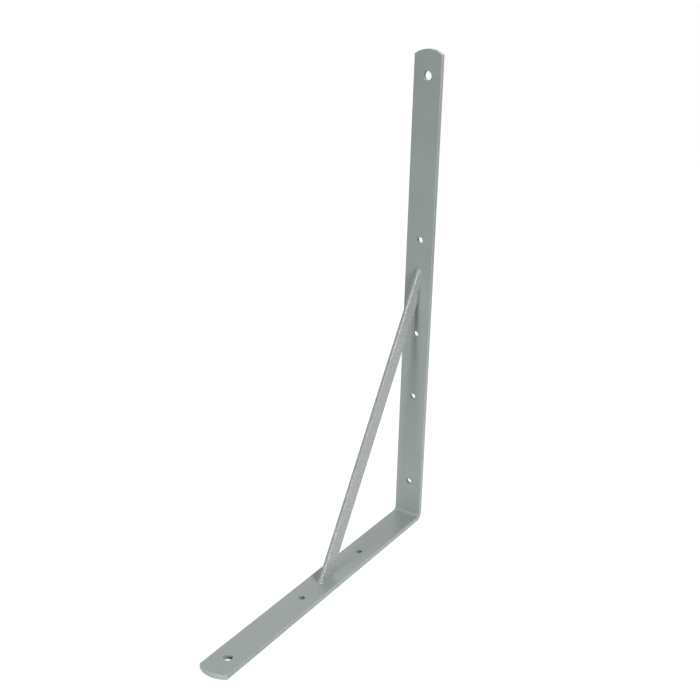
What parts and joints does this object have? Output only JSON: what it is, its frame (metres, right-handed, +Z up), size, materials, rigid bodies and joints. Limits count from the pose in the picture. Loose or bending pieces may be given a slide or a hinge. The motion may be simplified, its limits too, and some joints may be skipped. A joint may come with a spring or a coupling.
{
  "type": "gallows shelf bracket",
  "caption": "Painted steel shelf bracket: a flat strip bent to a right angle with rounded ends and screw holes, stiffened by a welded diagonal brace on edge.",
  "frame": {"origin": "middle of the footprint, on the plane of the shelf arm's outer face", "axes": "+Z up the wall arm to its rounded end, +Y from the shelf arm's tip towards the wall, X across the strip"},
  "size_m": [0.03, 0.35, 0.5],
  "materials": {
    "strip_paint": "semi-gloss grey-green paint on smooth flat bar",
    "brace_paint": "semi-gloss grey-green paint with a fine orange peel",
    "weld_paint": "semi-gloss grey-green paint over weld metal"
  },
  "bodies": {
    "root": {"bent_strip": "strip_paint", "diagonal_brace": "brace_paint", "foot_weld": "weld_paint", "head_weld": "weld_paint"}
  },
  "joints": []
}
